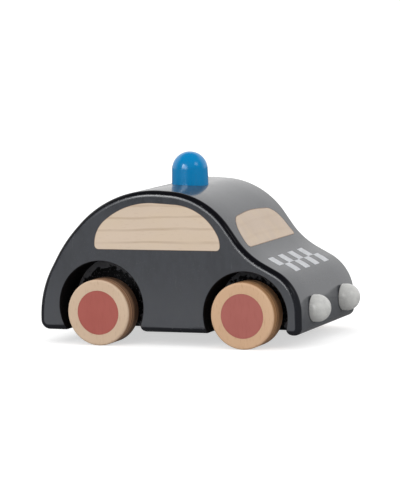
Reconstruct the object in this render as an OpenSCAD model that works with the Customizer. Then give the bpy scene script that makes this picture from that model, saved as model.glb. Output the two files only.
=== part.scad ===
// Wooden toy police car: a painted body glued up from three boards, wheels that roll on
// dowel axles, bare wood windows, a turned roof beacon and two turned headlights.
// +X points forward, +Y to the car's left and +Z up. The origin lies on the ground under
// the middle of the car. Lengths are in millimetres.

/* [Body] */
// Wood between the rear wheel wells and the tail
tail_wall = 13.5; // [10:0.1:18]
// Wood between the front wheel wells and the nose
nose_wall = 7.5; // [6:0.1:12]
// Width of the body across all three boards
body_w = 96; // [88:1:116]
// Height of the body from its underside to the top of the roof
body_h = 81.2; // [74:0.2:92]
// Height of the flat underside above the ground
ground_gap = 7.7; // [5.5:0.1:10]
// Thickness of each outer board, which is also the depth of the wheel wells
board_t = 24; // [20:0.5:28]
// Rounding along the outer edges of the body
edge_round = 3.6; // [1.5:0.1:5]

/* [Body outline] */
// Rounding at the foot of the tail
tail_r = 5.5; // [4:0.5:10]
// Rounding from the tail into the rear slope
rear_r = 58; // [35:1:65]
// Rounding in the middle of the rear slope
slope_r = 87; // [50:1:95]
// Rounding from the rear slope into the roof
roof_rear_r = 65; // [40:1:70]
// Rounding from the roof into the windshield
roof_front_r = 47; // [30:1:55]
// Hollow between the windshield and the hood
cowl_r = 45; // [25:1:55]
// Rounding at the front of the hood
hood_r = 26; // [15:1:30]
// Rounding from the hood into the upright nose
nose_r = 26; // [15:1:30]
// Rounding under the nose
chin_r = 4.5; // [4:0.5:8]

/* [Wheels] */
// Diameter of a wheel
wheel_d = 38; // [34:0.5:42]
// Thickness of a wheel
wheel_t = 16; // [12:0.5:20]
// Rounding of both rims of a wheel
wheel_edge = 1.2; // [0.5:0.1:3]
// How far a wheel stands out of the side of the body
wheel_out = 5; // [2:0.5:9]
// Distance between the two axles
wheelbase = 88.3; // [82:0.1:94]
// Diameter of the coloured hub disc
hub_d = 25.4; // [14:0.2:28]
// Thickness of the coloured hub disc
hub_t = 3; // [1.5:0.1:5]

/* [Wheel wells] */
// Room between a rear wheel and its well
rear_well_gap = 7; // [4:0.1:9]
// How far the middle of a rear well lies above its axle
rear_well_rise = 3.1; // [0:0.1:5]
// Room between a front wheel and its well
front_well_gap = 6.2; // [4:0.1:8]
// How far the middle of a front well lies below its axle
front_well_drop = 0.7; // [0:0.1:2]

/* [Axles] */
// Diameter of the dowel axles
axle_d = 8; // [5:0.1:10]
// Running clearance of an axle in its bush, all round
axle_play = 0.08; // [0.02:0.01:0.1]
// Room around an axle inside the body
axle_way_gap = 0.8; // [0.4:0.1:1.2]
// Sideways clearance between a bush and its wheel
side_play = 0.4; // [0.2:0.1:1]
// Wall of a bush in the body
bush_wall = 2; // [1:0.1:3]
// Length of a bush inside the body
bush_len = 12; // [6:0.5:18]
// Step from the bush in the body to its collar in the well
bush_collar = 1.5; // [0.8:0.1:3]
// Chamfer at the ends of an axle
axle_chamfer = 0.6; // [0.2:0.1:1.2]

/* [Windows] */
// Thickness of the bare wood windows let into the body
inlay_t = 1; // [0.5:0.1:2]
// Clearance around a window
inlay_gap = 0.08; // [0.02:0.01:0.3]
// Length of a side window
side_win_len = 77.3; // [60:0.1:84]
// Height of a side window
side_win_h = 26.8; // [18:0.1:28]
// Distance from the tail to a side window
side_win_from_tail = 36.3; // [32:0.1:44]
// Height of the window sill above the underside
sill_h = 47.3; // [46:0.1:49]
// Rounding of the lower corners of a side window
sill_corner_r = 2.5; // [1:0.1:4]
// Width of the windshield along its lower edge
windshield_w = 75.5; // [50:0.5:80]
// How much narrower the windshield is along its upper edge
windshield_taper = 6; // [0:0.5:14]
// Height of the windshield along its slope
windshield_h = 22.8; // [16:0.2:24]
// Distance from the hollow of the hood up to the windshield
windshield_gap = 3.6; // [2:0.1:6]
// Width of the rear window along its lower edge
rear_win_w = 66; // [40:0.5:76]
// How much narrower the rear window is along its upper edge
rear_win_taper = 8; // [0:0.5:14]
// Height of the rear window along its slope
rear_win_h = 19; // [12:0.2:22]
// Distance from the middle of the rear slope's lower bend up to the rear window
rear_win_gap = 4; // [2:0.1:8]
// Rounding of the upper corners of the windshield and the rear window
end_win_top_r = 15; // [6:0.5:16]
// Rounding of the lower corners of the windshield and the rear window
end_win_foot_r = 2.6; // [1:0.1:6]
// Crown of the upper edge of the windshield and the rear window
end_win_crown = 2.9; // [0.5:0.1:4]

/* [Beacon] */
// Diameter of the roof beacon at its foot
beacon_d = 21.4; // [14:0.2:26]
// Height of the beacon above the roof
beacon_h = 18.8; // [16:0.2:26]
// How much narrower the beacon is where its dome starts
beacon_taper = 0.6; // [0.1:0.1:3]
// Distance from the tail to the middle of the beacon
beacon_from_tail = 77.1; // [70:0.1:86]
// Depth of the beacon's seat below the lowest roof under its foot
beacon_sink = 0.3; // [0.1:0.1:1]
// Diameter of the beacon's tenon
beacon_tenon_d = 10; // [5:0.2:12]
// Length of the beacon's tenon
beacon_tenon_len = 14; // [8:0.5:20]

/* [Headlights] */
// Diameter of a headlight
lamp_d = 15.6; // [10:0.2:17]
// How far a headlight stands out of the nose
lamp_len = 10.3; // [9.5:0.1:14]
// Rounding at the foot of a headlight
lamp_edge = 0.5; // [0.3:0.1:1.6]
// Distance from the middle of the car to a headlight
lamp_side = 25.3; // [18:0.1:30]
// Height of the headlights above the ground
lamp_z = 21; // [18:0.1:24]
// Diameter of a headlight's tenon
lamp_tenon_d = 6; // [3:0.1:7]
// Wood left between a headlight's tenon and the front wheel well
lamp_back = 0.7; // [0.4:0.1:2]

/* [Fits] */
// Clearance of a glued tenon, dowel or disc in its hole, all round
glue_gap = 0.05; // [0.01:0.01:0.2]
// Room below the end of a tenon
tenon_room = 0.8; // [0.3:0.1:1.5]

/* [Hidden] */

$fn = 96;
RIGHT = -1;
LEFT = 1;
paint = "#3b3d42";
bare_wood = "#cfbba6";
turned_wood = "#c9a98c";
disc_red = "#a8605a";
beacon_blue = "#1f78b4";
lamp_grey = "#b2b2af";
bush_tan = "#b08d66";

// How far cuts run past the faces that they open
overrun = 2;
// Smallest radius that an inset corner keeps
least_r = 0.2;
// Turn between neighbouring points on a rounded corner, in degrees
arc_step = 4;
// Turn of the rounded outer edge, from the outline to the outer face, in degrees
edge_turn = 90;
// Steps across the rounded outer edge
edge_steps = 6;
// Part of an edge that the roundings at its two ends may use
edge_use_share = 0.98;
// How far the windshield's and the rear window's cutters reach into the body
window_reach = 12;

// Corners of the side outline, from the foot of the tail over the roof to the chin,
// as shares of the body's length and height
body_shares = [[0, 0], [0, 0.275], [0.102, 0.63], [0.293, 1.0217], [0.656, 0.9767],
               [0.805, 0.558], [0.93, 0.428], [1, 0.306], [1, 0]];
body_radii = [tail_r, rear_r, slope_r, roof_rear_r, roof_front_r, cowl_r, hood_r, nose_r, chin_r];
// Places in that list: the ends of the rear slope and of the windshield's slope
rear_foot = 2;
rear_head = 3;
front_head = 4;
front_foot = 5;

// Radius of the bend in the middle of a crown, as a share of the window's width
crown_bend_share = 2;

// Corners and corner radii of a side window, as shares of its length and height
side_win_shares = [[0, 0], [0, 0.422], [0.268, 1.042], [0.875, 0.936], [1, 0.232], [1, 0]];
side_win_r_shares = [0.67, 1.68, 1.155, 0.475];

wheel_r = wheel_d/2;
axle_z = wheel_r;
rear_well_r = wheel_r + rear_well_gap;
front_well_r = wheel_r + front_well_gap;
body_len = tail_wall + rear_well_r + wheelbase + front_well_r + nose_wall;
tail_x = -(body_len + lamp_len)/2;
nose_x = tail_x + body_len;
rear_x = tail_x + tail_wall + rear_well_r;
front_x = rear_x + wheelbase;
half_w = body_w/2;
core_half = half_w - board_t;
wheel_in = half_w + wheel_out - wheel_t;
hub_in = wheel_t - hub_t;
bush_d = axle_d + 2*axle_play + 2*bush_wall;
beacon_x = tail_x + beacon_from_tail;
lamp_tenon_len = nose_wall - tenon_room - lamp_back;

body_corners = [for (s = body_shares) [tail_x + s[0]*body_len, ground_gap + s[1]*body_h]];
side_win_corners = [for (s = side_win_shares)
    [tail_x + side_win_from_tail + s[0]*side_win_len, ground_gap + sill_h + s[1]*side_win_h]];
side_win_radii = [sill_corner_r, for (s = side_win_r_shares) s*side_win_h, sill_corner_r];

body_outline = outline(body_corners, body_radii, 0);
beacon_seat_z = min(roof_z(beacon_x - beacon_d/2), roof_z(beacon_x + beacon_d/2)) - beacon_sink;

// Outlines run clockwise, so their inner side lies to the right
function unit(v) = v/norm(v);
function left_of(v) = [-v[1], v[0]];
function before(i, n) = (i + n - 1) % n;
function after(i, n) = (i + 1) % n;
function edge_from(c, i) = c[after(i, len(c))] - c[i];
function way_in(c, i) = unit(edge_from(c, before(i, len(c))));
function way_out(c, i) = unit(edge_from(c, i));
function turn(c, i) = let (u = way_in(c, i), v = way_out(c, i)) atan2(u[0]*v[1] - u[1]*v[0], u*v);
function spun(v, a) = [v[0]*cos(a) - v[1]*sin(a), v[0]*sin(a) + v[1]*cos(a)];

// Length of an edge that the rounding of corner i uses
function reach(c, r, i) = r[i]*tan(abs(turn(c, i))/2);

// Share of its radius that a corner keeps so that edge i holds both of its roundings
function room(c, r, i) =
    min(1, edge_use_share*norm(edge_from(c, i))/(reach(c, r, i) + reach(c, r, after(i, len(c)))));

// Corner radii, limited by the edges beside them
function fitted(c, r) =
    [for (i = [0 : len(c) - 1]) r[i]*min(room(c, r, i), room(c, r, before(i, len(c))))];

// Corners moved inwards by d, square to their edges
function inset_corners(c, d) = [for (i = [0 : len(c) - 1])
    let (a = -left_of(way_in(c, i)), b = -left_of(way_out(c, i))) c[i] + d*(a + b)/(1 + a*b)];

// Radii that keep a rounding concentric when its corner moves inwards by d
function inset_radii(c, r, d) =
    [for (i = [0 : len(c) - 1]) max(r[i] + (turn(c, i) < 0 ? -d : d), least_r)];

// Points of one rounded corner
function corner_points(c, r, i) =
    let (u = way_in(c, i), a = turn(c, i), start = c[i] - reach(c, r, i)*u,
         middle = start + sign(a)*r[i]*left_of(u), steps = ceil(abs(a)/arc_step))
    [for (k = [0 : steps]) middle + spun(start - middle, a*k/steps)];

// Points of a rounded outline, moved inwards by d
function outline(c, r, d) =
    let (ci = inset_corners(c, d), ri = inset_radii(c, fitted(c, r), d))
    [for (i = [0 : len(c) - 1]) each corner_points(ci, ri, i)];

// Place on the rounded outer edge of the body, a degrees round it: distance from the middle
// of the car and distance inside the outline
function edge_at(a) = [half_w - edge_round*(1 - sin(a)), edge_round*(1 - cos(a))];

// Height of the roof at a place along the car
function roof_z(x) =
    max([for (i = [0 : len(body_outline) - 1])
        let (a = body_outline[i], b = body_outline[after(i, len(body_outline))])
        if ((a[0] - x)*(b[0] - x) < 0) a[1] + (b[1] - a[1])*(x - a[0])/(b[0] - a[0])]);

// Outline of the windshield or the rear window: across the car and up its slope
function end_win_corners(w, taper, h) =
    let (foot = w/2, head = (w - taper)/2)
    [[-foot, 0], [-head, h - end_win_crown], [0, h], [head, h - end_win_crown], [foot, 0]];
function end_win_radii(w) =
    [end_win_foot_r, end_win_top_r, crown_bend_share*w, end_win_top_r, end_win_foot_r];

// Body outline, moved inwards, as a block across the car
module body_block(inset, w) {
    rotate([90, 0, 0])
        linear_extrude(height = w, center = true)
            polygon(outline(body_corners, body_radii, inset));
}

// Outer board on the left with its outer edge rounded, trimmed flat on both faces
module rounded_board() {
    step = edge_turn/edge_steps;
    rings = [[core_half - overrun, 0],
             for (k = [0 : edge_steps - 1]) edge_at(k*step),
             2*edge_at(edge_turn) - edge_at(edge_turn - step)];
    n = len(body_outline);
    points = [for (r = rings) for (p = outline(body_corners, body_radii, r[1])) [p[0], r[0], p[1]]];
    sides = [for (j = [0 : len(rings) - 2]) for (i = [0 : n - 1])
        let (a = j*n + i, b = j*n + after(i, n), c = b + n, d = a + n) each [[a, c, b], [a, d, c]]];
    inner = [for (i = [0 : n - 1]) i];
    outer = [for (i = [0 : n - 1]) len(points) - 1 - i];
    intersection() {
        polyhedron(points = points, faces = [inner, outer, each sides]);
        translate([tail_x - overrun, core_half, 0])
            cube([body_len + 2*overrun, board_t, ground_gap + body_h + overrun]);
    }
}

// Puts a left-hand shape on the given side of the car
module on_side(side) {
    mirror([0, side == RIGHT ? 1 : 0, 0]) children();
}

// Turned shape on an axis across the car, with its upward end pointing out of the given side
module across(x, y, z, side) {
    translate([x, side*y, z]) rotate([-90*side, 0, 0]) children();
}

// Cutter on a slope of the body, from corner foot towards corner head
module on_slope(foot, head, gap) {
    up = unit(body_corners[head] - body_corners[foot]);
    at = body_corners[foot] + gap*up;
    translate([at[0], 0, at[1]]) rotate([0, atan2(up[1], -up[0]), 0]) rotate([0, 0, 90]) children();
}

module end_window_prism(w, taper, h, inset) {
    linear_extrude(height = 2*window_reach, center = true)
        polygon(outline(end_win_corners(w, taper, h), end_win_radii(w), inset));
}

module windshield_prism(inset) {
    on_slope(front_foot, front_head, windshield_gap)
        end_window_prism(windshield_w, windshield_taper, windshield_h, inset);
}

module rear_window_prism(inset) {
    on_slope(rear_foot, rear_head, rear_win_gap)
        end_window_prism(rear_win_w, rear_win_taper, rear_win_h, inset);
}

// Recesses for the windshield and the rear window
module end_window_pockets() {
    difference() {
        union() {
            windshield_prism(0);
            rear_window_prism(0);
        }
        body_block(inlay_t, body_w);
    }
}

// Skin of the body that the windshield and the rear window are cut from
module body_skin() {
    difference() {
        body_block(0, body_w);
        body_block(inlay_t, body_w + overrun);
    }
}

// Side window of a given depth, lying under the outer face of the left board
module side_window_block(inset, depth, proud) {
    translate([0, half_w + proud, 0])
        rotate([90, 0, 0])
            linear_extrude(height = depth + proud)
                polygon(outline(side_win_corners, side_win_radii, inset));
}

// Holes for the tenons of the headlights
module lamp_holes() {
    for (side = [RIGHT, LEFT])
        translate([nose_x - lamp_tenon_len - tenon_room, side*lamp_side, lamp_z])
            rotate([0, 90, 0])
                cylinder(d = lamp_tenon_d + 2*glue_gap, h = lamp_tenon_len + tenon_room + overrun);
}

// Seat and hole for the beacon
module beacon_hole() {
    translate([beacon_x, 0, beacon_seat_z]) {
        cylinder(d = beacon_d + 2*glue_gap, h = beacon_h);
        translate([0, 0, -beacon_tenon_len - tenon_room])
            cylinder(d = beacon_tenon_d + 2*glue_gap, h = beacon_tenon_len + tenon_room + overrun);
    }
}

// Ways for the axles and holes for their bushes
module axle_ways() {
    for (x = [rear_x, front_x]) {
        across(x, -core_half - overrun, axle_z, LEFT)
            cylinder(d = axle_d + 2*axle_way_gap, h = 2*core_half + 2*overrun);
        for (side = [RIGHT, LEFT])
            across(x, core_half - bush_len, axle_z, side)
                cylinder(d = bush_d + 2*glue_gap, h = bush_len + overrun);
    }
}

// Wheel wells through the left board
module wells() {
    across(rear_x, core_half - overrun, axle_z + rear_well_rise, LEFT)
        cylinder(r = rear_well_r, h = board_t + 2*overrun);
    across(front_x, core_half - overrun, axle_z - front_well_drop, LEFT)
        cylinder(r = front_well_r, h = board_t + 2*overrun);
}

module body_core() {
    color(paint)
        difference() {
            body_block(0, 2*core_half);
            end_window_pockets();
            beacon_hole();
            lamp_holes();
            axle_ways();
        }
}

module body_side(side) {
    color(paint)
        on_side(side)
            difference() {
                rounded_board();
                wells();
                side_window_block(0, inlay_t, overrun);
                end_window_pockets();
                lamp_holes();
            }
}

module windshield() {
    color(bare_wood)
        intersection() {
            body_skin();
            windshield_prism(inlay_gap);
        }
}

module rear_window() {
    color(bare_wood)
        intersection() {
            body_skin();
            rear_window_prism(inlay_gap);
        }
}

module side_window(side) {
    color(bare_wood)
        on_side(side)
            side_window_block(inlay_gap, inlay_t, 0);
}

// Quarter of a disc in the right half plane, above its centre
module quarter_disc(r) {
    intersection() {
        circle(r = r);
        square(r);
    }
}

// Turned beacon: a tenon, a slightly tapered foot and a round dome
module roof_beacon() {
    dome_r = (beacon_d - beacon_taper)/2;
    dome_z = roof_z(beacon_x) - beacon_seat_z + beacon_h - dome_r;
    color(beacon_blue)
        translate([beacon_x, 0, beacon_seat_z])
            rotate_extrude() {
                polygon([[0, 0], [beacon_d/2, 0], [dome_r, dome_z], [0, dome_z]]);
                translate([0, dome_z]) quarter_disc(dome_r);
                translate([0, -beacon_tenon_len]) square([beacon_tenon_d/2, beacon_tenon_len]);
            }
}

// Turned headlight: a tenon, a rounded foot and a round dome
module headlight(side) {
    lamp_r = lamp_d/2;
    color(lamp_grey)
        translate([nose_x, side*lamp_side, lamp_z])
            rotate([0, 90, 0])
                rotate_extrude() {
                    square([lamp_r - lamp_edge, lamp_len - lamp_r]);
                    translate([0, lamp_edge]) square([lamp_r, lamp_len - lamp_r - lamp_edge]);
                    translate([lamp_r - lamp_edge, lamp_edge]) circle(r = lamp_edge);
                    translate([0, lamp_len - lamp_r]) quarter_disc(lamp_r);
                    translate([0, -lamp_tenon_len]) square([lamp_tenon_d/2, lamp_tenon_len]);
                }
}

// Dowel axle with chamfered ends, flush with the floors of the hub recesses
module axle(x) {
    half = wheel_in + hub_in;
    tip_r = axle_d/2 - axle_chamfer;
    color(turned_wood)
        across(x, 0, axle_z, LEFT)
            rotate_extrude()
                polygon([[0, -half], [tip_r, -half], [axle_d/2, -half + axle_chamfer],
                         [axle_d/2, half - axle_chamfer], [tip_r, half], [0, half]]);
}

// Turned wheel with rounded rims, a bore for the axle and a recess for the hub disc
module wheel(x, side) {
    color(turned_wood)
        across(x, wheel_in, axle_z, side)
            rotate_extrude()
                difference() {
                    union() {
                        square([wheel_r - wheel_edge, wheel_t]);
                        translate([0, wheel_edge]) square([wheel_r, wheel_t - 2*wheel_edge]);
                        for (y = [wheel_edge, wheel_t - wheel_edge])
                            translate([wheel_r - wheel_edge, y]) circle(r = wheel_edge);
                    }
                    translate([0, -overrun]) square([axle_d/2 + glue_gap, wheel_t]);
                    translate([0, hub_in]) square([hub_d/2 + glue_gap, hub_t + overrun]);
                }
}

module hub(x, side) {
    color(disc_red)
        across(x, wheel_in + hub_in, axle_z, side)
            cylinder(d = hub_d, h = hub_t);
}

// Bush pressed into the core, with a collar that keeps the wheel off the wall of its well
module bush(x, side) {
    bore_r = axle_d/2 + axle_play;
    collar_len = wheel_in - side_play - core_half;
    color(bush_tan)
        across(x, core_half, axle_z, side)
            rotate_extrude() {
                translate([bore_r, -bush_len]) square([bush_d/2 - bore_r, bush_len]);
                translate([bore_r, 0]) square([bush_d/2 + bush_collar - bore_r, collar_len]);
            }
}

body_core();
body_side(RIGHT);  // body_side_right
body_side(LEFT);  // body_side_left
windshield();
rear_window();
side_window(RIGHT);  // side_window_right
side_window(LEFT);  // side_window_left
roof_beacon();
headlight(RIGHT);  // headlight_right
headlight(LEFT);  // headlight_left
axle(front_x);  // front_axle
axle(rear_x);  // rear_axle
wheel(front_x, RIGHT);  // front_wheel_right
wheel(front_x, LEFT);  // front_wheel_left
wheel(rear_x, RIGHT);  // rear_wheel_right
wheel(rear_x, LEFT);  // rear_wheel_left
hub(front_x, RIGHT);  // front_hub_right
hub(front_x, LEFT);  // front_hub_left
hub(rear_x, RIGHT);  // rear_hub_right
hub(rear_x, LEFT);  // rear_hub_left
bush(front_x, RIGHT);  // front_bush_right
bush(front_x, LEFT);  // front_bush_left
bush(rear_x, RIGHT);  // rear_bush_right
bush(rear_x, LEFT);  // rear_bush_left
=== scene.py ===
import math

import bmesh
import bpy
from mathutils import Matrix, Vector


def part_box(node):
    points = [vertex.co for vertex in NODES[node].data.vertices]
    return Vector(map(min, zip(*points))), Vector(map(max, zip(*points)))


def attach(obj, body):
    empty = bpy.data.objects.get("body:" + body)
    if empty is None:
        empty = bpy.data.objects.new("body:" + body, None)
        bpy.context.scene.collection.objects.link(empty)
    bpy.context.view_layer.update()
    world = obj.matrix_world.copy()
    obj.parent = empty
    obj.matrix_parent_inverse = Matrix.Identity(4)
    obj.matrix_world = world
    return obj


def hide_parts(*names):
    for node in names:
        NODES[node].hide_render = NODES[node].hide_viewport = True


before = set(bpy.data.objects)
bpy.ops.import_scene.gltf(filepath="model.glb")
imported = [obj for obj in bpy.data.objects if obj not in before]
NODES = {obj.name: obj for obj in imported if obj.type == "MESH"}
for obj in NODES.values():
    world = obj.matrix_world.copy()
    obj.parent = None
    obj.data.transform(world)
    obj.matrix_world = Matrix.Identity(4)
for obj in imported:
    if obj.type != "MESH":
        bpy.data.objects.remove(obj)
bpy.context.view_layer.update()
MM = 0.001
RIGHT = -1
LEFT = 1

# Places and sizes read from the frame, in metres
CORE_LOW, CORE_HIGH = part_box("body_core")
HALF_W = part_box("body_side_left")[1].y
CORE_HALF = CORE_HIGH.y
TAIL_X, NOSE_X = CORE_LOW.x, CORE_HIGH.x
BODY_LEN = NOSE_X - TAIL_X
UNDER_Z = CORE_LOW.z
WHEEL_LOW, WHEEL_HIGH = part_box("front_wheel_left")
WHEEL_R = (WHEEL_HIGH.z - WHEEL_LOW.z)/2
AXLE_Z = (WHEEL_HIGH.z + WHEEL_LOW.z)/2
FRONT_X = sum(v.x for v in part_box("front_axle"))/2
REAR_X = sum(v.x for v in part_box("rear_axle"))/2

# Body outline from the side: corners as shares of length and height, and their roundings
BODY_H = 81.2*MM
BODY_SHARES = [(0, 0), (0, 0.275), (0.102, 0.63), (0.293, 1.0217), (0.656, 0.9767),
               (0.805, 0.558), (0.93, 0.428), (1, 0.306), (1, 0)]
BODY_RADII = [r*MM for r in (5.5, 58, 87, 65, 47, 45, 26, 26, 4.5)]
REAR_FOOT, REAR_HEAD, FRONT_HEAD, FRONT_FOOT = 2, 3, 4, 5
EDGE_USE_SHARE = 0.98
EDGE_ROUND = 3.6*MM
EDGE_STEPS = 10
ARC_STEP = math.radians(1.2)
# Narrow band of flat face that keeps the shading of the rounding off the side
FLAT_BAND = 0.5*MM

# Wheel arches: radius, height of the middle, rounding at the two feet and easing of the edge
REAR_ARCH_R = WHEEL_R + 7*MM
REAR_ARCH_Z = AXLE_Z + 3.1*MM
FRONT_ARCH_R = WHEEL_R + 6.2*MM
FRONT_ARCH_Z = AXLE_Z - 0.7*MM
ARCH_FRONT_FOOT_R = 3.6*MM
ARCH_REAR_FOOT_R = 1.2*MM
ARCH_EASE = 0.35*MM
ARCH_STEPS = 64
# Worn band beside the corner of a well
WORN_BAND = 0.45*MM
# Painted light on the back of a well, outside a ragged circle beside the middle of its arch that keeps the
# wheel's dark painted reflection, in millimetres
REFLECTION_R = 21.5
REFLECTION_BACK, REFLECTION_DOWN = 5, 2

# Windows
SIDE_WIN_LEN = 77.3*MM
SIDE_WIN_H = 26.8*MM
SIDE_WIN_FROM_TAIL = 36.3*MM
SILL_H = 47.3*MM
SIDE_WIN_SHARES = [(0, 0), (0, 0.422), (0.268, 1.042), (0.875, 0.936), (1, 0.232), (1, 0)]
SIDE_WIN_R_SHARES = [0.093, 0.67, 1.68, 1.155, 0.475, 0.093]
WINDSHIELD = {"w": 75.5*MM, "taper": 6*MM, "h": 22.8*MM, "gap": 3.6*MM}
REAR_WINDOW = {"w": 66*MM, "taper": 8*MM, "h": 19*MM, "gap": 4*MM}
END_WIN_TOP_R = 15*MM
END_WIN_FOOT_R = 2.6*MM
END_WIN_CROWN = 2.9*MM
CROWN_BEND_SHARE = 2
END_WIN_RIM = 0.75*MM
END_WIN_RINGS = 24
END_WIN_STEP = 0.7*MM
SLOPE_STEP = 0.25*MM
SIDE_WIN_RIM = 0.35*MM
WINDOW_PROUD = 0.05*MM
WINDOW_DEPTH = 0.6*MM

# Lines of the windows' grain: how they tilt, and where they start
GRAIN_TILT = math.radians(1.2)
GRAIN_PHASE = -1.2

# Outer rim of a wheel where the tread's tone gives way to the face's, as millimetres inside its outer face
TREAD_START, TREAD_END = 1.5, 0.5
# Depths inside the outer face, in millimetres, between which a tread gets darker with painted shade
TREAD_LIT, TREAD_DEEP = 3.0, 13.0

# Checker band painted on the hood
CHECK = 8*MM
CHECK_ROWS, CHECK_COLUMNS = 2, 8
CHECK_START_X = 50.8*MM
CHECK_PROUD = 0.04*MM
CHECK_CUTS = 8

# Heights on the body, in millimetres, over which the painted shade band of the edge narrows, the lighter low
# part ends, the darker strip above the side windows comes in, and the wear with its painted highlight along
# the edge grows
SHADE_BAND_HEIGHTS = (26.0, 44.0)
LIGHTER_BELOW_HEIGHTS = (12.0, 50.0)
STRIP_HEIGHTS = (70.0, 86.0)
WEAR_AND_HIGHLIGHT_HEIGHTS = (12.0, 40.0)

# Camera, fitted to the photograph
IMAGE_H = 500
SENSOR = 36
FOCAL_PX = 2918.8
CAMERA_AZ, CAMERA_EL, CAMERA_ROLL = 22.061, 6.191, -1.549
CAMERA_DISTANCE = 1.7
CAMERA_TARGET = Vector((-3.33*MM, 0, 49.95*MM))

# Light that reaches every side alike
EVEN_LIGHT = 0.98
# Soft suns: azimuth beside the camera and elevation in degrees, strength, and spread in degrees
SUNS = {"key": (-45, 24, 0.45, 18), "fill": (50, 34, 0.25, 20)}
# Floor: its own tone, how much brighter the camera sees it, and half of its width
FLOOR_TONE = (0.62, 0.62, 0.62, 1)
FLOOR_LIFT = 0.58
FLOOR_HALF = 15.0

# What gloss sees: a wall behind the car, with its strength and the heights where it ends, and a dim rest
WALL_GLOW = 1.02
WALL_TOP = (0.6, 0.85)
CEILING_GLOW = 0.06
FRONT_GLOW = 0.05
# Soft panels before the car: azimuth beside the camera, half width, low and high end in degrees, strength
PANELS = [(-43, 12, 4, 34, 3.6), (-25, 8, 4, 25, 4.2)]
# Degrees over which a panel fades on either side of its low end, its high end and its sides
LOW_FADE, HIGH_FADE, SIDE_FADE = 3, 6, 4
# Dim floor: azimuth beside the camera, reach of its core and of its fade in degrees, glow inside and outside
FLOOR_PATCH = (-43, 14, 34, 0.4, 0.17)
FLOOR_SHADE = (0, 10, 34, 0.1, 1.0)
HORIZON_BLUR = 0.03


# Outlines

def fitted(corners, radii):
    """Radii limited by the edges beside their corners."""
    count = len(corners)
    edges = [Vector(corners[(i + 1) % count]) - Vector(corners[i]) for i in range(count)]
    reach = [radii[i]*math.tan(abs(turn_between(edges[i - 1], edges[i]))/2) for i in range(count)]
    room = [min(1, EDGE_USE_SHARE*edges[i].length/(reach[i] + reach[(i + 1) % count])) for i in range(count)]
    return [radii[i]*min(room[i], room[i - 1]) for i in range(count)]


def turn_between(u, v):
    """Angle from one direction to another, counted to the left."""
    return math.atan2(u.x*v.y - u.y*v.x, u.dot(v))


def rounded(corners, radii):
    """Points of a clockwise outline with rounded corners, as pairs of place and outward direction."""
    count = len(corners)
    radii = fitted(corners, radii)
    points = []
    for i in range(count):
        here = Vector(corners[i])
        u = (here - Vector(corners[i - 1])).normalized()
        v = (Vector(corners[(i + 1) % count]) - here).normalized()
        turn = turn_between(u, v)
        side = math.copysign(1, turn)
        start = here - radii[i]*math.tan(abs(turn)/2)*u
        middle = start + side*radii[i]*Vector((-u.y, u.x))
        steps = math.ceil(abs(turn)/ARC_STEP)
        for k in range(steps + 1):
            spoke = (start - middle).copy()
            spoke.rotate(Matrix.Rotation(turn*k/steps, 2))
            points.append((middle + spoke, -side*spoke/radii[i]))
    return points


BODY_CORNERS = [(TAIL_X + s*BODY_LEN, UNDER_Z + t*BODY_H) for s, t in BODY_SHARES]
BODY_OUTLINE = rounded(BODY_CORNERS, BODY_RADII)


# Meshes

# Material slot of the wells in the body's mesh, after the slot of the paint
WELL = 1
# In metres: places that are the same, points that are merged, and points that lie on a line
SAME_PLACE = 1e-9
MERGE_REACH = 2e-7
ON_LINE = 1e-6
# Angle between faces, in degrees, from which their edge is sharp
SHARP_ANGLE = 50


class Sheet:
    """Faces given by their corner places, joined into one mesh where the places agree."""

    def __init__(self):
        self.mesh = bmesh.new()

    def face(self, places, slot=0):
        """One face, without the places that repeat the one before."""
        corners = []
        for p in places:
            if not corners or (Vector(p) - Vector(corners[-1])).length > SAME_PLACE:
                corners.append(tuple(p))
        if (Vector(corners[0]) - Vector(corners[-1])).length < SAME_PLACE:
            corners.pop()
        if len(corners) < 3:
            return
        face = self.mesh.faces.new([self.mesh.verts.new(p) for p in corners])
        face.material_index = slot
        face.smooth = True

    def strip(self, first, second, slot=0, closed=False):
        """Quads between two rows of as many places."""
        count = len(first)
        for i in range(count if closed else count - 1):
            j = (i + 1) % count
            self.face([first[i], first[j], second[j], second[i]], slot)

    def finish(self, name, materials, marks=None):
        """Object of the joined faces, with a value at every point for each named mark."""
        bmesh.ops.remove_doubles(self.mesh, verts=self.mesh.verts, dist=MERGE_REACH)
        bmesh.ops.recalc_face_normals(self.mesh, faces=self.mesh.faces)
        data = bpy.data.meshes.new(name)
        self.mesh.to_mesh(data)
        self.mesh.free()
        for mark, rule in (marks or {}).items():
            layer = data.attributes.new(mark, "FLOAT", "POINT")
            layer.data.foreach_set("value", [rule(v.co) for v in data.vertices])
        for material in materials:
            data.materials.append(material)
        data.set_sharp_from_angle(angle=math.radians(SHARP_ANGLE))
        piece = bpy.data.objects.new(name, data)
        bpy.context.scene.collection.objects.link(piece)
        return piece


def edge_ring(k):
    """Place on the rounded outer edge: distance from the middle of the car, and from the outline."""
    a = math.pi/2*k/EDGE_STEPS
    return HALF_W - EDGE_ROUND*(1 - math.sin(a)), EDGE_ROUND*(1 - math.cos(a))


EDGE_RINGS = [edge_ring(k) for k in range(EDGE_STEPS + 1)]


class ArchFoot:
    """One foot of a wheel arch, rounded where it meets the underside."""

    def __init__(self, z, r, foot_r):
        self.z, self.r, self.foot_r = z, r, foot_r
        self.foot_z = UNDER_Z + foot_r
        self.foot_dx = math.sqrt((r + foot_r)**2 - (self.foot_z - z)**2)
        self.join_z = z + (self.foot_z - z)*r/(r + foot_r)

    def reach(self, z):
        """Distance from the middle of the arch at a height."""
        if z > self.join_z:
            return math.sqrt(self.r**2 - (z - self.z)**2)
        return self.foot_dx - math.sqrt(max(self.foot_r**2 - (z - self.foot_z)**2, 0))


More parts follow.
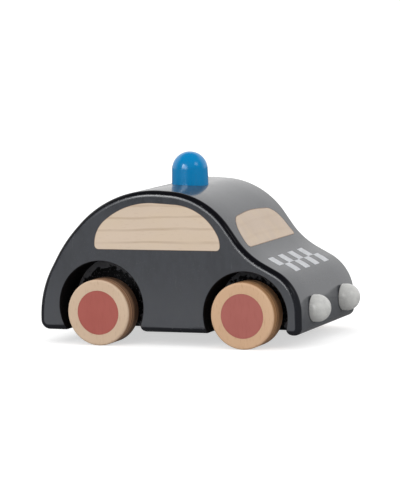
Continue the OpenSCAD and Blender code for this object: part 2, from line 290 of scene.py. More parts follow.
class Arch:
    """Side profile of a wheel arch with rounded feet, and the rows of places that bound its surfaces."""

    def __init__(self, x, z, r):
        self.x, self.z, self.r = x, z, r
        self.front_foot = ArchFoot(z, r, ARCH_FRONT_FOOT_R)
        self.rear_foot = ArchFoot(z, r, ARCH_REAR_FOOT_R)

    def half_at(self, z, r):
        return math.sqrt(r*r - (z - self.z)**2)

    def arc(self, z, r):
        """Places from the front over the top to the rear, starting and ending at a height."""
        a = math.asin((z - self.z)/r)
        turns = [a + (math.pi - 2*a)*k/ARCH_STEPS for k in range(ARCH_STEPS + 1)]
        return [(self.x + r*math.cos(t), self.z + r*math.sin(t)) for t in turns]

    def up_foot(self, foot, side, eased):
        """Places up a foot, on the outer surface or on the wall of the well beside it."""
        top = UNDER_Z + EDGE_ROUND
        ease_x = self.half_at(top, self.r + ARCH_EASE) - self.half_at(top, self.r)
        places = []
        for k, (y, inset) in enumerate(EDGE_RINGS):
            share = k/EDGE_STEPS
            fade = share*share*(3 - 2*share)
            x = foot.reach(UNDER_Z + inset) + (fade*ease_x if eased else 0)
            places.append((x, side*(y - (0 if eased else fade*ARCH_EASE)), UNDER_Z + inset))
        return places

    def row(self, side, eased):
        """The whole edge of the arch, from its front foot to its rear foot."""
        top = UNDER_Z + EDGE_ROUND
        r = self.r + (ARCH_EASE if eased else 0)
        y = side*(HALF_W - (0 if eased else ARCH_EASE))
        over = [(x, y, z) for x, z in self.arc(top, r)[1:-1]]
        front = [(self.x + x, fy, z) for x, fy, z in self.up_foot(self.front_foot, side, eased)]
        rear = [(self.x - x, fy, z) for x, fy, z in self.up_foot(self.rear_foot, side, eased)]
        return front + over + rear[::-1]

    def inset_row(self, side):
        """Edge of the flat side's inner face around the arch."""
        return [(x, side*HALF_W, z) for x, z in self.arc(UNDER_Z + EDGE_ROUND + FLAT_BAND,
                                                         self.r + ARCH_EASE + FLAT_BAND)]


def on_outline(point, y, inset):
    """Place inside a point of an outline, at a distance across the car."""
    place, out = point
    return (place.x - inset*out.x, y, place.y - inset*out.y)


def add_body_side(sheet, side, arches):
    """Underside, arches and flat outer face of one side of the body."""
    front, rear = arches
    chin, tail = BODY_OUTLINE[-1], BODY_OUTLINE[0]
    rows = {arch: arch.row(side, True) for arch in arches}
    count = EDGE_STEPS + 1

    def level_ends(point):
        return [on_outline(point, side*CORE_HALF, 0)] + [on_outline(point, side*y, i) for y, i in EDGE_RINGS]

    def arch_ends(arch, rear_end):
        row = rows[arch][-count:][::-1] if rear_end else rows[arch][:count]
        return [(row[0][0], side*CORE_HALF, UNDER_Z)] + row

    sheet.strip(level_ends(chin), arch_ends(front, False))
    sheet.strip(arch_ends(front, True), arch_ends(rear, False))
    sheet.strip(arch_ends(rear, True), level_ends(tail))

    for arch in arches:
        wall = arch.row(side, False)
        near = [(x, side*(CORE_HALF + WORN_BAND), z) for x, y, z in wall]
        deep = [(x, side*CORE_HALF, z) for x, y, z in wall]
        sheet.strip(rows[arch], wall, WELL)
        sheet.strip(wall, near, WELL)
        sheet.strip(near, deep, WELL)
        shrink = 1 - WORN_BAND/arch.r
        inner = [(arch.x + (x - arch.x)*shrink, y, arch.z + (z - arch.z)*shrink) for x, y, z in deep]
        sheet.strip(deep, inner, WELL)
        sheet.face([deep[0], inner[0], inner[-1], deep[-1]], WELL)
        sheet.face(inner, WELL)

    flat = edge_ring(EDGE_STEPS)[1]
    outer = [on_outline(p, side*HALF_W, flat) for p in BODY_OUTLINE]
    inner = [on_outline(p, side*HALF_W, flat + FLAT_BAND) for p in BODY_OUTLINE]
    for arch in (front, rear):
        outer += rows[arch][EDGE_STEPS:-EDGE_STEPS]
        inner += arch.inset_row(side)
    sheet.strip(outer, inner, closed=True)
    sheet.face(inner)


def edge_mark(co):
    """Share of the way round the outer edge: 0 on the top and the ends, 1 on the flat sides."""
    across = (abs(co.y) - (HALF_W - EDGE_ROUND))/EDGE_ROUND
    return math.asin(min(max(across, 0), 1))/(math.pi/2)


def well_mark(arches):
    """Rule that gives 1 on the line where the wall of a well meets its back."""
    def rule(co):
        if abs(abs(co.y) - CORE_HALF) > ON_LINE or co.z < UNDER_Z + EDGE_ROUND:
            return 0.0
        spans = [abs(math.hypot(co.x - a.x, co.z - a.z) - a.r) for a in arches]
        return 1.0 if min(spans) < ON_LINE else 0.0
    return rule


def make_body(materials):
    """The painted body in one smooth skin: top, rounded edges, flat sides, arches and wells."""
    sheet = Sheet()
    arches = (Arch(FRONT_X, FRONT_ARCH_Z, FRONT_ARCH_R), Arch(REAR_X, REAR_ARCH_Z, REAR_ARCH_R))
    right_edge = [(RIGHT*y, inset) for y, inset in reversed(EDGE_RINGS)]
    left_edge = [(LEFT*y, inset) for y, inset in EDGE_RINGS]
    section = right_edge + [(RIGHT*CORE_HALF, 0), (LEFT*CORE_HALF, 0)] + left_edge
    lines = [[on_outline(p, y, inset) for p in BODY_OUTLINE] for y, inset in section]
    for first, second in zip(lines, lines[1:]):
        sheet.strip(first, second)
    for side in (RIGHT, LEFT):
        add_body_side(sheet, side, arches)
    feet_x = [BODY_OUTLINE[-1][0].x]
    for arch in arches:
        feet_x += [arch.x + arch.front_foot.foot_dx, arch.x - arch.rear_foot.foot_dx]
    feet_x.append(BODY_OUTLINE[0][0].x)
    under = [(x, CORE_HALF, UNDER_Z) for x in feet_x] + [(x, -CORE_HALF, UNDER_Z) for x in reversed(feet_x)]
    sheet.face(under)
    return sheet.finish("body_shell", materials, marks={"edge": edge_mark, "worn": well_mark(arches)})


def surface_at(place, out):
    """Where a line from a place, along a direction in the side view, meets the body's outline."""
    best = None
    across = Vector((-out.y, out.x))
    for (a, na), (b, nb) in zip(BODY_OUTLINE, BODY_OUTLINE[1:]):
        da, db = (a - place).dot(across), (b - place).dot(across)
        if da*db > 0 or da == db:
            continue
        t = da/(da - db)
        point, normal = a.lerp(b, t), na.lerp(nb, t).normalized()
        if normal.dot(out) > 0 and (best is None or (point - place).length < (best[0] - place).length):
            best = (point, normal)
    return best


class Slope:
    """Surface of the body up a slope, from one corner of its outline towards the next."""

    def __init__(self, foot, head, gap, length):
        up = (Vector(BODY_CORNERS[head]) - Vector(BODY_CORNERS[foot])).normalized()
        start = Vector(BODY_CORNERS[foot]) + gap*up
        out = Vector((-up.y, up.x)) if up.x > 0 else Vector((up.y, -up.x))
        count = math.ceil(length/SLOPE_STEP) + 1
        self.samples = [surface_at(start + k*SLOPE_STEP*up, out) for k in range(count)]

    def at(self, across, distance, rise):
        """Place across the car and up the slope, lifted off the surface."""
        k = min(int(distance/SLOPE_STEP), len(self.samples) - 2)
        (a, na), (b, nb) = self.samples[k:k + 2]
        t = distance/SLOPE_STEP - k
        place = a.lerp(b, t) + rise*na.lerp(nb, t).normalized()
        return (place.x, across, place.y)


def dense(outline, step):
    """Closed outline with more points on its long edges."""
    points = []
    for (a, na), (b, nb) in zip(outline, outline[1:] + outline[:1]):
        cuts = max(1, math.ceil((b - a).length/step))
        points += [(a.lerp(b, k/cuts), na.lerp(nb, k/cuts).normalized()) for k in range(cuts)]
    return points


def make_end_window(name, window, foot, head, material):
    """Bare wood windshield or rear window, bent over its slope and a hair proud of the paint."""
    half_foot, half_head = window["w"]/2, (window["w"] - window["taper"])/2
    shoulder = window["h"] - END_WIN_CROWN
    corners = [(-half_foot, 0), (-half_head, shoulder), (0, window["h"]),
               (half_head, shoulder), (half_foot, 0)]
    radii = [END_WIN_FOOT_R, END_WIN_TOP_R, CROWN_BEND_SHARE*window["w"], END_WIN_TOP_R, END_WIN_FOOT_R]
    outline = dense(rounded(corners, radii), END_WIN_STEP)
    slope = Slope(foot, head, window["gap"], window["h"])
    middle = Vector((0, window["h"]/2))
    inner = [p - END_WIN_RIM*n for p, n in outline]
    rings = [[p for p, n in outline]]
    for k in range(END_WIN_RINGS + 1):
        rings.append([p.lerp(middle, k/END_WIN_RINGS) for p in inner])
    top = [[slope.at(p.x, p.y, WINDOW_PROUD) for p in ring] for ring in rings]
    under = [slope.at(p.x, p.y, -WINDOW_DEPTH) for p in rings[0]]
    sheet = Sheet()
    for first, second in zip(top, top[1:]):
        sheet.strip(first, second, closed=True)
    sheet.strip(top[0], under, closed=True)
    sheet.face(under)
    return sheet.finish(name, [material], marks={"rim": among(top[0] + under)})


def among(places):
    """Rule that gives 1 at some places and 0 elsewhere."""
    keys = {tuple(round(c, 6) for c in p) for p in places}
    return lambda co: 1.0 if tuple(round(c, 6) for c in co) in keys else 0.0


def make_side_window(name, side, material):
    """Flat bare wood window, a hair proud of the paint, with its edge just eased."""
    left = TAIL_X + SIDE_WIN_FROM_TAIL
    sill = UNDER_Z + SILL_H
    corners = [(left + s*SIDE_WIN_LEN, sill + t*SIDE_WIN_H) for s, t in SIDE_WIN_SHARES]
    outline = rounded(corners, [s*SIDE_WIN_H for s in SIDE_WIN_R_SHARES])
    sheet = Sheet()
    steps = [(0, -WINDOW_DEPTH), (0, 0), (WINDOW_PROUD, WINDOW_PROUD), (SIDE_WIN_RIM, WINDOW_PROUD)]
    rings = [[on_outline(p, side*(HALF_W + rise), inset) for p in outline] for inset, rise in steps]
    for first, second in zip(rings, rings[1:]):
        sheet.strip(first, second, closed=True)
    sheet.face(rings[-1])
    sheet.face(rings[0])
    return sheet.finish(name, [material], marks={"rim": among(rings[0] + rings[1] + rings[2])})


def hood_walk():
    """Points along the hood from the start of the checks: distance, place and outward direction."""
    walk = []
    for (a, na), (b, nb) in zip(BODY_OUTLINE, BODY_OUTLINE[1:]):
        if walk:
            walk.append((walk[-1][0] + (b - a).length, b, nb))
        elif a.x <= CHECK_START_X < b.x:
            t = (CHECK_START_X - a.x)/(b.x - a.x)
            start = a.lerp(b, t)
            walk = [(0, start, na.lerp(nb, t).normalized()), ((b - start).length, b, nb)]
    return walk


def along(walk, distance):
    """Place and outward direction at a distance along a walk."""
    for (da, pa, na), (db, pb, nb) in zip(walk, walk[1:]):
        if da <= distance <= db:
            t = (distance - da)/(db - da)
            return pa.lerp(pb, t), na.lerp(nb, t).normalized()


def make_checks(material):
    """Band of plain checks painted across the hood, one piece of thin closed patches."""
    walk = hood_walk()
    sheet = Sheet()
    for row in range(CHECK_ROWS):
        for column in range(CHECK_COLUMNS):
            if (row + column) % 2:
                continue
            low_y = (column - CHECK_COLUMNS/2)*CHECK
            points = [along(walk, (row + k/CHECK_CUTS)*CHECK) for k in range(CHECK_CUTS + 1)]
            lines = []
            for y, rise in ((low_y, -CHECK_PROUD), (low_y, CHECK_PROUD),
                            (low_y + CHECK, CHECK_PROUD), (low_y + CHECK, -CHECK_PROUD)):
                lines.append([(p.x + rise*n.x, y, p.y + rise*n.y) for p, n in points])
            for first, second in zip(lines, lines[1:] + lines[:1]):
                sheet.strip(first, second)
            for end in (0, -1):
                sheet.face([line[end] for line in lines])
    return sheet.finish("hood_checks", [material])


# Materials

# Sockets of a Mix node that mixes colours: share, first and second colour, and the result
MIX_INPUTS = (0, 6, 7)
MIX_OUTPUT = 2


class Tree:
    """Short calls for one tree of shader nodes."""

    def __init__(self, owner):
        owner.use_nodes = True
        self.tree = owner.node_tree
        self.tree.nodes.clear()

    def add(self, kind, sockets=None, **settings):
        """New node with its settings, and values or links for its sockets."""
        node = self.tree.nodes.new(kind)
        for key, value in settings.items():
            setattr(node, key, value)
        for key, value in (sockets or {}).items():
            self.feed(node.inputs[key], value)
        return node

    def feed(self, socket, value):
        if isinstance(value, bpy.types.NodeSocket):
            self.tree.links.new(value, socket)
        else:
            socket.default_value = value

    def vector(self, operation, a, b=None, **sockets):
        node = self.add("ShaderNodeVectorMath", operation=operation)
        self.feed(node.inputs[0], a)
        if b is not None:
            self.feed(node.inputs[1], b)
        for key, value in sockets.items():
            self.feed(node.inputs[key], value)
        return node.outputs["Value" if operation in ("LENGTH", "DOT_PRODUCT") else "Vector"]

    def math(self, operation, a, b=0.0):
        node = self.add("ShaderNodeMath", operation=operation)
        self.feed(node.inputs[0], a)
        self.feed(node.inputs[1], b)
        return node.outputs[0]

    def step(self, value, low, high, to_low=0.0, to_high=1.0):
        """Smooth change from one value to another while the input goes from low to high."""
        node = self.add("ShaderNodeMapRange", {"Value": value, "From Min": low, "From Max": high,
                                               "To Min": to_low, "To Max": to_high})
        node.interpolation_type = "SMOOTHSTEP"
        return node.outputs["Result"]

    def choose(self, share, first, second):
        """The first shader where the share is 0 and the second where it is 1."""
        return self.add("ShaderNodeMixShader", {0: share, 1: first, 2: second}).outputs["Shader"]


class Graph(Tree):
    """Short calls for one node material with a Principled shader."""

    def __init__(self, name, **sockets):
        self.material = bpy.data.materials.new(name)
        super().__init__(self.material)
        self.shader = self.add("ShaderNodeBsdfPrincipled")
        self.set(**sockets)
        self.add("ShaderNodeOutputMaterial", {"Surface": self.shader.outputs["BSDF"]})
        place = self.add("ShaderNodeTexCoord").outputs["Object"]
        self.place = self.vector("SCALE", place, Scale=1/MM)

    def noise(self, scale, detail=2.0, stretch=(1, 1, 1), place=None, roughness=0.5):
        """Noise over places in millimetres: scale is in turns a millimetre."""
        spread = self.vector("MULTIPLY", place or self.place, stretch)
        return self.add("ShaderNodeTexNoise", {"Vector": spread, "Scale": scale, "Detail": detail,
                                               "Roughness": roughness}).outputs["Fac"]

    def mix(self, share, a, b):
        """The first colour where the share is 0 and the second where it is 1."""
        node = self.add("ShaderNodeMix", data_type="RGBA")
        for socket, value in zip(MIX_INPUTS, (share, a, b)):
            self.feed(node.inputs[socket], value)
        return node.outputs[MIX_OUTPUT]

    def mark(self, name):
        """Value of a mark at the points of the mesh."""
        return self.add("ShaderNodeAttribute", attribute_name=name).outputs["Fac"]

    def bump(self, height, depth, below=None):
        """Bump of a depth in millimetres."""
        node = self.add("ShaderNodeBump", {"Height": height, "Distance": depth*MM, "Strength": 1.0})
        if below is not None:
            self.feed(node.inputs["Normal"], below)
        return node.outputs["Normal"]

    def set(self, **sockets):
        """Gives the shader values or links by socket name, and returns the material."""
        for key, value in sockets.items():
            self.feed(self.shader.inputs[key.replace("_", " ")], value)
        return self.material


def rgb(r, g, b):
    """Colour from its usual screen values, as light."""
    def light(v):
        v /= 255
        return v/12.92 if v <= 0.04045 else ((v + 0.055)/1.055)**2.4
    return (light(r), light(g), light(b), 1.0)


def paint_material():
    """Satin charcoal paint on wood: painted shade in a black, dull band round the edge, lighter low down,
    and wear specks that also paint a highlight.
    """
    g = Graph("charcoal_paint", IOR=1.5)
    edge = g.mark("edge")
    height = g.add("ShaderNodeSeparateXYZ", {"Vector": g.place}).outputs["Z"]
    # Painted shade: a black, dull band round the edge in place of its dark reflection, wider and darker on
    # the low edges
    start = g.step(height, *SHADE_BAND_HEIGHTS, 0.82, 0.68)
    end = g.step(height, *SHADE_BAND_HEIGHTS, 0.97, 0.8)
    band = g.math("MULTIPLY", g.step(edge, 0.02, 0.1), g.step(edge, start, end, 1.0, 0.0))
    shade_band_tone = g.mix(g.step(height, *SHADE_BAND_HEIGHTS), rgb(36, 37, 41), rgb(17, 17, 21))
    cloud = g.noise(0.035, 3)
    mottle = g.step(g.noise(0.3, 3, (1, 1, 0.6)), 0.3, 0.7, 0.0, 0.4)
    scuff = g.step(g.noise(0.5, 3, (1, 1, 0.12)), 0.64, 0.76, 0.0, 0.14)
    plain = g.mix(cloud, rgb(61, 63, 67), rgb(68, 70, 74))
    # Lighter towards the bottom of the body
    lighter_below = g.mix(g.step(height, *LIGHTER_BELOW_HEIGHTS, 0.6, 0.0), plain, rgb(84, 86, 90))
    strip = g.math("MULTIPLY", g.step(height, *STRIP_HEIGHTS, 0.0, 0.7), g.step(edge, 0.9, 1.0))
    shade = g.mix(strip, lighter_below, rgb(42, 44, 48))
    face = g.mix(scuff, g.mix(mottle, shade, rgb(72, 74, 80)), rgb(116, 118, 124))
    base = g.mix(band, face, shade_band_tone)
    speck = g.step(g.noise(1.3, 2), 0.62, 0.7)
    # Specks of wear along the edge, more of them higher up, which also paint the highlight line of the upper
    # edges
    patch = g.math("MULTIPLY", g.step(g.noise(0.07, 2), 0.4, 0.6, 0.15, 1.0),
                   g.step(height, *WEAR_AND_HIGHLIGHT_HEIGHTS, 0.2, 1.0))
    rim = g.math("MULTIPLY", g.step(edge, 0.6, 0.76), g.step(edge, 0.93, 1.0, 0.8, 0.03))
    wear = g.math("MULTIPLY", g.math("MULTIPLY", speck, patch), rim)
    colour = g.mix(wear, base, rgb(176, 176, 176))
    rough = g.math("ADD", g.step(g.noise(0.1, 3), 0.3, 0.7, 0.13, 0.18), g.math("MULTIPLY", wear, 0.3))
    # Gloss is lowered inside the painted shade band
    gloss = g.step(band, 0.0, 1.0, 0.5, 0.12)
    skin = g.bump(g.noise(0.9, 1), 0.002)
    return g.set(Base_Color=colour, Roughness=rough, Specular_IOR_Level=gloss, Normal=skin)


def well_material():
    """Paint in the wheel wells, painted near black as shade: cutter marks, a worn corner, and painted light
    on a scratched back.
    """
    g = Graph("well_paint_and_shade", IOR=1.45, Specular_IOR_Level=0.2)

    def beside(x, z):
        """Distance in the side view from the middle of the wheel's painted reflection in the well of an
        arch.
        """
        middle = (x/MM - REFLECTION_BACK, 0, z/MM - REFLECTION_DOWN)
        return g.vector("LENGTH", g.vector("MULTIPLY", g.vector("SUBTRACT", g.place, middle), (1, 0, 1)))

    cutter = g.noise(0.8, 2, (1, 0.08, 1))
    depth = g.math("ABSOLUTE", g.add("ShaderNodeSeparateXYZ", {"Vector": g.place}).outputs["Y"])
    on_back = g.step(depth, CORE_HALF/MM + 0.02, CORE_HALF/MM + 0.2, 1.0, 0.0)
    # Painted light on the back of the well, outside a ragged circle: inside it stays black as the wheel's
    # painted reflection
    reach = g.math("MINIMUM", beside(REAR_X, REAR_ARCH_Z), beside(FRONT_X, FRONT_ARCH_Z))
    ragged = g.math("ADD", reach, g.step(g.noise(0.4, 3), 0.25, 0.75, -1.8, 1.8))
    painted_light_back = g.math("MULTIPLY", g.step(ragged, REFLECTION_R - 0.6, REFLECTION_R + 0.6), on_back)
    # Painted shade: the wells have the body's paint, darkened here to near black
    black = g.mix(cutter, rgb(9, 9, 11), rgb(19, 19, 22))
    base = g.mix(painted_light_back, black, g.mix(cutter, rgb(104, 105, 110), rgb(124, 125, 130)))
    scratch = g.step(g.noise(1.5, 2, (1, 0.5, 0.6)), 0.6, 0.68, 0.0, 0.6)
    corner = g.math("MULTIPLY", g.mark("worn"), g.step(g.noise(0.2, 2), 0.4, 0.6, 0.1, 0.5))
    marked = g.mix(g.math("MULTIPLY", scratch, on_back), base, rgb(140, 139, 140))
    colour = g.mix(corner, marked, rgb(120, 112, 104))
    return g.set(Base_Color=colour, Normal=g.bump(cutter, 0.04),
                 Roughness=g.step(cutter, 0.3, 0.7, 0.6, 0.8))


def window_material(name, light, dark, line_share):
    """Sanded bare beech: wavy lines that rise to the front, flecks and a rim where paint soaked in."""
    g = Graph(name, IOR=1.4, Specular_IOR_Level=0.35)
    cloud = g.noise(0.05, 3, (0.35, 1, 1))
    warm = g.step(g.noise(0.11, 2, (0.5, 1, 1)), 0.4, 0.7, 0.0, 0.35)
    base = g.mix(warm, g.mix(cloud, light, dark), rgb(214, 194, 168))
    tilted = g.add("ShaderNodeMapping", {"Vector": g.place, "Rotation": (0, GRAIN_TILT, 0)})
    stretched = g.vector("MULTIPLY", tilted.outputs["Vector"], (0.3, 0.3, 1))
    wave = g.add("ShaderNodeTexWave", {"Vector": stretched, "Scale": 0.0455, "Distortion": 3.0,
                                       "Detail": 1.5, "Detail Scale": 1.3,
                                       "Phase Offset": GRAIN_PHASE},
                 wave_type="BANDS", bands_direction="Z").outputs["Fac"]
    broken = g.step(g.noise(0.07, 2, (0.4, 1, 1)), 0.3, 0.6, 0.3*line_share, line_share)
    line = g.math("MULTIPLY", g.step(wave, 0.84, 1.0), broken)
    fleck = g.step(g.noise(1.6, 2, (0.12, 1, 1)), 0.6, 0.72, 0.0, 0.35)
    colour = g.mix(line, g.mix(fleck, base, rgb(192, 168, 146)), rgb(172, 146, 120))
    colour = g.mix(g.step(g.mark("rim"), 0.1, 0.8, 0.0, 0.8), colour, rgb(118, 92, 74))
    return g.set(Base_Color=colour, Normal=g.bump(fleck, 0.008),
                 Roughness=g.step(cloud, 0.3, 0.7, 0.5, 0.62))


def turned_material(name, axle_x, light, dark, fleck_tone, tread_tone, groove_tone, painted_shade_share):
    """Turned beech: grain over the face, rings from the tool, and a browner tread with painted shade that
    darkens it inwards.
    """
    g = Graph(name, IOR=1.4, Specular_IOR_Level=0.35)
    centred = g.vector("SUBTRACT", g.place, (axle_x/MM, 0, AXLE_Z/MM))
    radius = g.vector("LENGTH", g.vector("MULTIPLY", centred, (1, 0, 1)))
    cloud = g.noise(0.07, 3, (1, 1, 0.45), centred)
    fleck = g.step(g.noise(1.3, 3, (1, 1, 0.16), centred), 0.55, 0.72, 0.0, 0.5)
    face = g.mix(fleck, g.mix(cloud, light, dark), fleck_tone)
    ring = g.add("ShaderNodeTexNoise", {"W": g.math("MULTIPLY", radius, 2.2), "Scale": 1.0, "Detail": 2.0},
                 noise_dimensions="1D").outputs["Fac"]
    across = g.math("ABSOLUTE", g.add("ShaderNodeSeparateXYZ", {"Vector": centred}).outputs["Y"])
    thread = g.add("ShaderNodeTexNoise", {"W": g.math("MULTIPLY", across, 0.9), "Scale": 1.0, "Detail": 3.0},
                   noise_dimensions="1D").outputs["Fac"]
    lined = g.mix(g.step(thread, 0.46, 0.62), tread_tone, groove_tone)
    depth = g.math("SUBTRACT", WHEEL_HIGH.y/MM, across)
    # Painted shade of the well, darkening the tread inwards
    tread = g.mix(g.step(depth, TREAD_LIT, TREAD_DEEP, 0.0, painted_shade_share), lined, rgb(40, 26, 20))
    on_face = g.step(across, WHEEL_HIGH.y/MM - TREAD_START, WHEEL_HIGH.y/MM - TREAD_END)
    colour = g.mix(on_face, tread, face)
    normal = g.bump(thread, 0.02, g.bump(ring, 0.012, g.bump(fleck, 0.008)))
    return g.set(Base_Color=colour, Roughness=g.step(cloud, 0.3, 0.7, 0.46, 0.6), Normal=normal)


def disc_material(name, axle_x, light, dark):
    """Matt red paint with brush marks and a little wear."""
    g = Graph(name, IOR=1.42, Specular_IOR_Level=0.3)
    centred = g.vector("SUBTRACT", g.place, (axle_x/MM, 0, AXLE_Z/MM))
    cloud = g.noise(0.12, 3, (1, 1, 0.5), centred)
    brush = g.noise(1.1, 2, (1, 1, 0.12), centred)
    base = g.mix(cloud, light, dark)
    chip = g.step(g.noise(0.55, 2, (1, 1, 1), centred), 0.73, 0.78, 0.0, 0.4)
    brushed = g.mix(g.step(brush, 0.5, 0.75, 0.0, 0.25), base, rgb(150, 80, 74))
    colour = g.mix(chip, brushed, rgb(196, 145, 128))
    return g.set(Base_Color=colour, Normal=g.bump(brush, 0.012),
                 Roughness=g.step(cloud, 0.3, 0.7, 0.55, 0.7))


def beacon_material():
    """Gloss blue paint on turned wood."""
    g = Graph("beacon_gloss", IOR=1.5)
    cloud = g.noise(0.1, 3)
    base = g.mix(cloud, rgb(0, 128, 187), rgb(0, 134, 195))
    speck = g.step(g.noise(0.9, 2), 0.74, 0.79, 0.0, 0.3)
    return g.set(Base_Color=g.mix(speck, base, rgb(96, 165, 208)), Normal=g.bump(g.noise(0.5, 2), 0.01),
                 Roughness=g.step(cloud, 0.3, 0.7, 0.14, 0.19))


def lamp_material():
    """Satin silver-grey paint, a little mottled, with small worn specks."""
    g = Graph("lamp_satin", IOR=1.5)
    cloud = g.noise(0.3, 3)
    base = g.mix(g.step(cloud, 0.3, 0.7), rgb(204, 204, 201), rgb(191, 191, 189))
    speck = g.step(g.noise(0.9, 2), 0.66, 0.74, 0.0, 0.8)
    return g.set(Base_Color=g.mix(speck, base, rgb(224, 221, 213)), Normal=g.bump(g.noise(1.2, 2), 0.008),
                 Roughness=g.step(cloud, 0.3, 0.7, 0.2, 0.28))


def marking_material():
    """Light grey paint, a little rubbed."""
    g = Graph("marking_paint", IOR=1.5)
    cloud = g.noise(0.2, 3)
    base = g.mix(cloud, rgb(202, 204, 208), rgb(190, 192, 196))
    rub = g.step(g.noise(0.8, 3), 0.66, 0.74, 0.0, 0.5)
    return g.set(Base_Color=g.mix(rub, base, rgb(130, 132, 138)), Normal=g.bump(cloud, 0.01),
                 Roughness=g.step(cloud, 0.3, 0.7, 0.4, 0.52))


def plain_wood_material():
    """Beech of the hidden axles and bushes."""
    g = Graph("plain_beech", IOR=1.4)
    cloud = g.noise(0.15, 3, (1, 0.2, 1))
    fleck = g.step(g.noise(1.5, 2, (1, 0.12, 1)), 0.58, 0.72, 0.0, 0.5)
    colour = g.mix(fleck, g.mix(cloud, rgb(186, 158, 128), rgb(168, 138, 106)), rgb(132, 100, 72))
    return g.set(Base_Color=colour, Normal=g.bump(fleck, 0.015),
                 Roughness=g.step(cloud, 0.3, 0.7, 0.55, 0.7))


# Scene

def dress(node, material):
    """Puts a material on a CAD node."""
    data = NODES[node].data
    data.materials.clear()
    data.materials.append(material)


def settle(piece, slot, *nodes):
    """Piece of the car's body that stands for CAD nodes."""
    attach(piece, "car_body")
    if nodes:
        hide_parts(*nodes)


def make_car():
    """All the pieces of the car, with their materials."""
    settle(make_body([paint_material(), well_material()]), "body_paint",
           "body_core", "body_side_right", "body_side_left")
    plain_pane = window_material("bare_beech_plain", rgb(206, 188, 171), rgb(199, 181, 164), 0.1)
    lined_pane = window_material("bare_beech_lined", rgb(218, 199, 179), rgb(210, 191, 171), 0.4)
    settle(make_end_window("windshield_wood", WINDSHIELD, FRONT_FOOT, FRONT_HEAD, plain_pane),
           "bare_wood", "windshield")
    settle(make_end_window("rear_window_wood", REAR_WINDOW, REAR_FOOT, REAR_HEAD, plain_pane),
           "bare_wood", "rear_window")
    for side, word in ((RIGHT, "right"), (LEFT, "left")):
        settle(make_side_window(f"side_window_wood_{word}", side, lined_pane),
               "bare_wood", f"side_window_{word}")
    settle(make_checks(marking_material()), "lamp_grey")

    plain = plain_wood_material()
    # Tones of the wheels; the last value is the share of painted shade deep in the tread, more for the rear
    # wheels
    tones = {"front": (rgb(214, 179, 146), rgb(205, 168, 135), rgb(184, 144, 110),
                       rgb(198, 152, 110), rgb(146, 104, 74), 0.15),
             "rear": (rgb(214, 190, 165), rgb(205, 178, 152), rgb(184, 154, 126),
                      rgb(192, 150, 118), rgb(126, 90, 70), 0.55)}
    reds = {"front": (rgb(176, 104, 96), rgb(167, 97, 90)), "rear": (rgb(176, 96, 87), rgb(166, 89, 81))}
    for end, x in (("front", FRONT_X), ("rear", REAR_X)):
        wheel = turned_material(f"{end}_wheel_beech", x, *tones[end])
        disc = disc_material(f"{end}_disc_red", x, *reds[end])
        dress(f"{end}_axle", plain)
        for word in ("right", "left"):
            dress(f"{end}_wheel_{word}", wheel)
            dress(f"{end}_hub_{word}", disc)
            dress(f"{end}_bush_{word}", plain)
    dress("roof_beacon", beacon_material())
    lamp = lamp_material()
    for word in ("right", "left"):
        dress(f"headlight_{word}", lamp)


def direction(azimuth, elevation):
    """Direction from the object towards an azimuth and elevation in degrees."""
    a, e = math.radians(azimuth), math.radians(elevation)
    return Vector((math.sin(a)*math.cos(e), -math.cos(a)*math.cos(e), math.sin(e)))


def add_camera():
    """Camera at the place that was fitted to the photograph."""
    back = direction(CAMERA_AZ, CAMERA_EL)
    right = direction(CAMERA_AZ + 90, 0)
    up = back.cross(right)
    roll = math.radians(CAMERA_ROLL)
    across = math.cos(roll)*right + math.sin(roll)*up
    upright = math.cos(roll)*up - math.sin(roll)*right
    data = bpy.data.cameras.new("camera")
    data.sensor_width = SENSOR
    data.lens = FOCAL_PX*SENSOR/IMAGE_H
    data.clip_end = 100
    camera = bpy.data.objects.new("camera", data)
    place = CAMERA_TARGET + CAMERA_DISTANCE*back
    camera.matrix_world = Matrix((across, upright, back)).transposed().to_4x4()
    camera.location = place
    bpy.context.scene.collection.objects.link(camera)
    bpy.context.scene.camera = camera


def add_sun(name, azimuth, elevation, strength, spread):
    """Soft sun from an azimuth and elevation in degrees."""
    data = bpy.data.lights.new(name, "SUN")
    data.energy = strength
    data.angle = math.radians(spread)
    lamp = bpy.data.objects.new(name, data)
    lamp.rotation_euler = direction(azimuth, elevation).to_track_quat("Z", "Y").to_euler()
    bpy.context.scene.collection.objects.link(lamp)


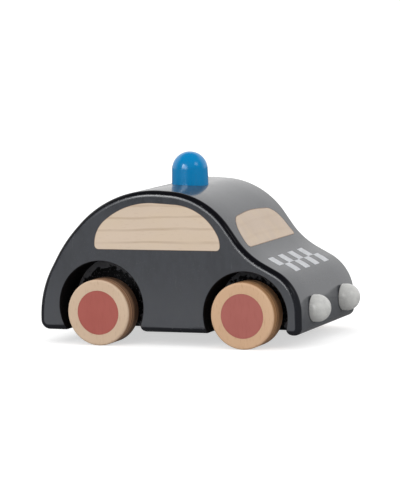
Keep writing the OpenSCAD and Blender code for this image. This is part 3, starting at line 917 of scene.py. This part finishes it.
def add_world():
    """Even studio light. Gloss sees a white wall behind the car, soft panels before it and a dim floor."""
    world = bpy.data.worlds.new("studio")
    bpy.context.scene.world = world
    t = Tree(world)
    place = t.add("ShaderNodeTexCoord").outputs["Generated"]
    path = t.add("ShaderNodeLightPath").outputs
    height = t.vector("DOT_PRODUCT", place, (0, 0, 1))

    def beside_camera(azimuth):
        """How far a ray points towards an azimuth beside the camera."""
        return t.vector("DOT_PRODUCT", place, direction(CAMERA_AZ + azimuth, 0))

    def within(azimuth, core, fade, inside, outside):
        """One value around an azimuth beside the camera, and another one away from it."""
        return t.step(beside_camera(azimuth), math.cos(math.radians(fade)), math.cos(math.radians(core)),
                      outside, inside)

    def rise(angle):
        return math.sin(math.radians(angle))

    behind = t.step(beside_camera(180), -0.1, 0.4, FRONT_GLOW, 1.0)
    above = t.math("MULTIPLY", behind, t.step(height, *WALL_TOP, WALL_GLOW, CEILING_GLOW))
    for azimuth, half, low, high, strength in PANELS:
        across = t.math("ABSOLUTE", beside_camera(azimuth + 90))
        upright = t.math("MULTIPLY", t.step(height, rise(low - LOW_FADE), rise(low + LOW_FADE)),
                         t.step(height, rise(high - HIGH_FADE), rise(high + HIGH_FADE), 1.0, 0.0))
        sides = t.step(across, rise(half - SIDE_FADE), rise(half + SIDE_FADE), strength, 0.0)
        shape = t.math("MULTIPLY", upright, sides)
        front = t.step(beside_camera(azimuth), 0.0, 0.3)
        above = t.math("ADD", above, t.math("MULTIPLY", shape, front))
    below = t.math("MULTIPLY", within(*FLOOR_PATCH), within(*FLOOR_SHADE))
    gloss = t.step(height, -HORIZON_BLUR, HORIZON_BLUR, below, above)

    def glow(strength):
        node = t.add("ShaderNodeBackground", {"Color": (1, 1, 1, 1), "Strength": strength})
        return node.outputs["Background"]

    lit = t.choose(path["Is Glossy Ray"], glow(EVEN_LIGHT), glow(gloss))
    t.add("ShaderNodeOutputWorld", {"Surface": t.choose(path["Is Camera Ray"], lit, glow(1.0))})


def add_floor():
    """Large pale floor with the car's shadow, close to white for the camera and clear for gloss."""
    corners = [(x*FLOOR_HALF, y*FLOOR_HALF, 0) for x, y in ((-1, -1), (1, -1), (1, 1), (-1, 1))]
    data = bpy.data.meshes.new("floor")
    data.from_pydata(corners, [], [range(4)])
    material = bpy.data.materials.new("floor_white")
    t = Tree(material)
    path = t.add("ShaderNodeLightPath").outputs
    pale = t.add("ShaderNodeBsdfDiffuse", {"Color": FLOOR_TONE}).outputs["BSDF"]
    lift = t.math("MULTIPLY", path["Is Camera Ray"], FLOOR_LIFT)
    glow = t.add("ShaderNodeEmission", {"Strength": lift}).outputs["Emission"]
    seen = t.add("ShaderNodeAddShader", {0: pale, 1: glow}).outputs["Shader"]
    clear = t.add("ShaderNodeBsdfTransparent").outputs["BSDF"]
    t.add("ShaderNodeOutputMaterial", {"Surface": t.choose(path["Is Glossy Ray"], seen, clear)})
    data.materials.append(material)
    floor = bpy.data.objects.new("floor", data)
    bpy.context.scene.collection.objects.link(floor)


make_car()
add_floor()
add_camera()
add_world()
for sun, (azimuth, elevation, strength, spread) in SUNS.items():
    add_sun(sun, CAMERA_AZ + azimuth, elevation, strength, spread)
bpy.context.scene.view_settings.view_transform = "Standard"
